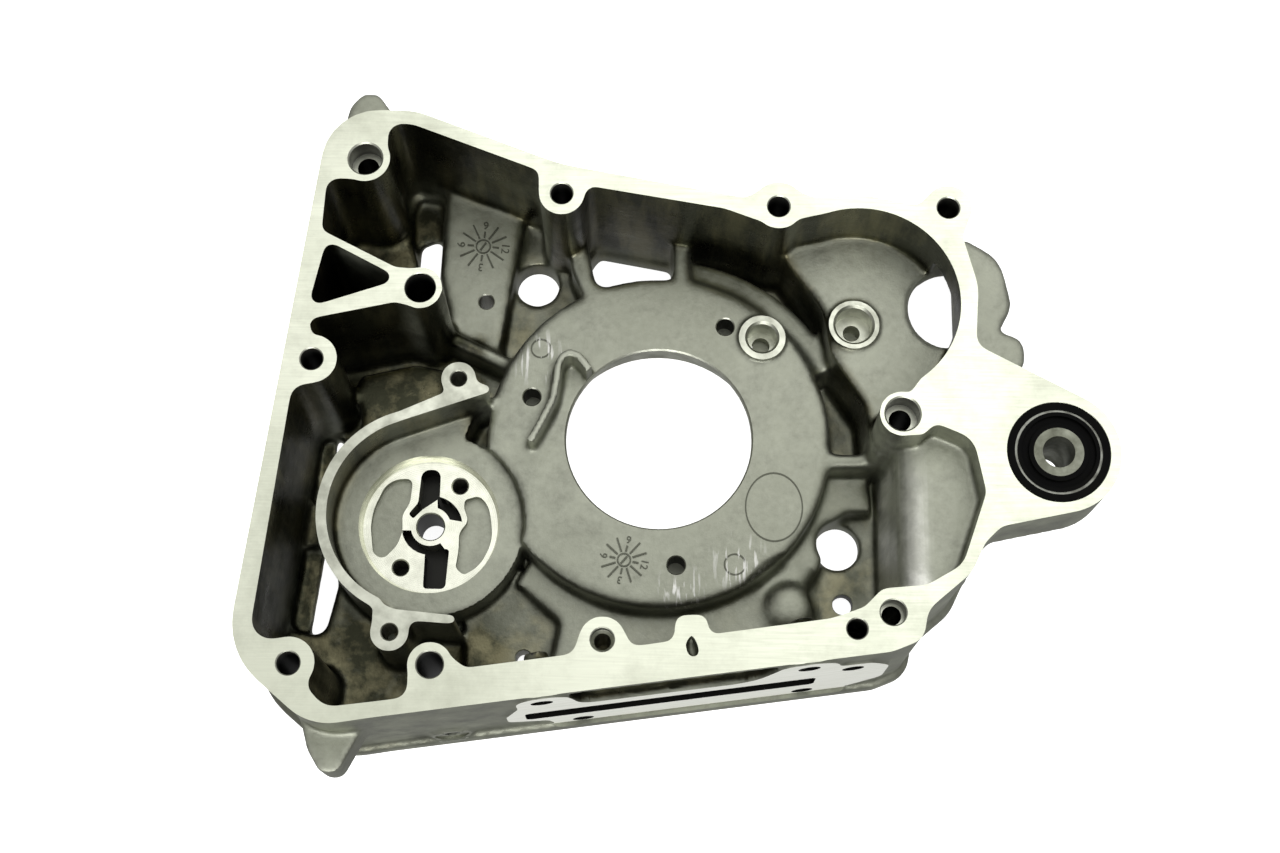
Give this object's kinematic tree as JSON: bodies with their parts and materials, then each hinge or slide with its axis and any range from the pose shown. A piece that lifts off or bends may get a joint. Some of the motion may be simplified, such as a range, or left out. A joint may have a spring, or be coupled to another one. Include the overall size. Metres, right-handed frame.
{
  "type": "crankcase half",
  "caption": "Aluminium crankcase half of a small scooter engine with cover face up, crank bore, pump seat, deep oil pockets and a rubber-bushed hanger ear.",
  "frame": {"origin": "on the crank axis at the mouth of the bearing seat, 3 mm inside the joint face", "axes": "+Z along the crank axis out of the cover face, +X towards the hanger ear, +Y up in the picture, away from the side flange"},
  "size_m": [0.2711, 0.2263, 0.06],
  "materials": {
    "cast_aluminium": "cast, with machined faces",
    "bush_rubber": "matte",
    "bush_steel": "dull"
  },
  "bodies": {
    "root": {"crankcase": "cast_aluminium", "bush_rubber": "bush_rubber", "bush_ring": "bush_steel", "bush_sleeve": "bush_steel"}
  },
  "joints": []
}
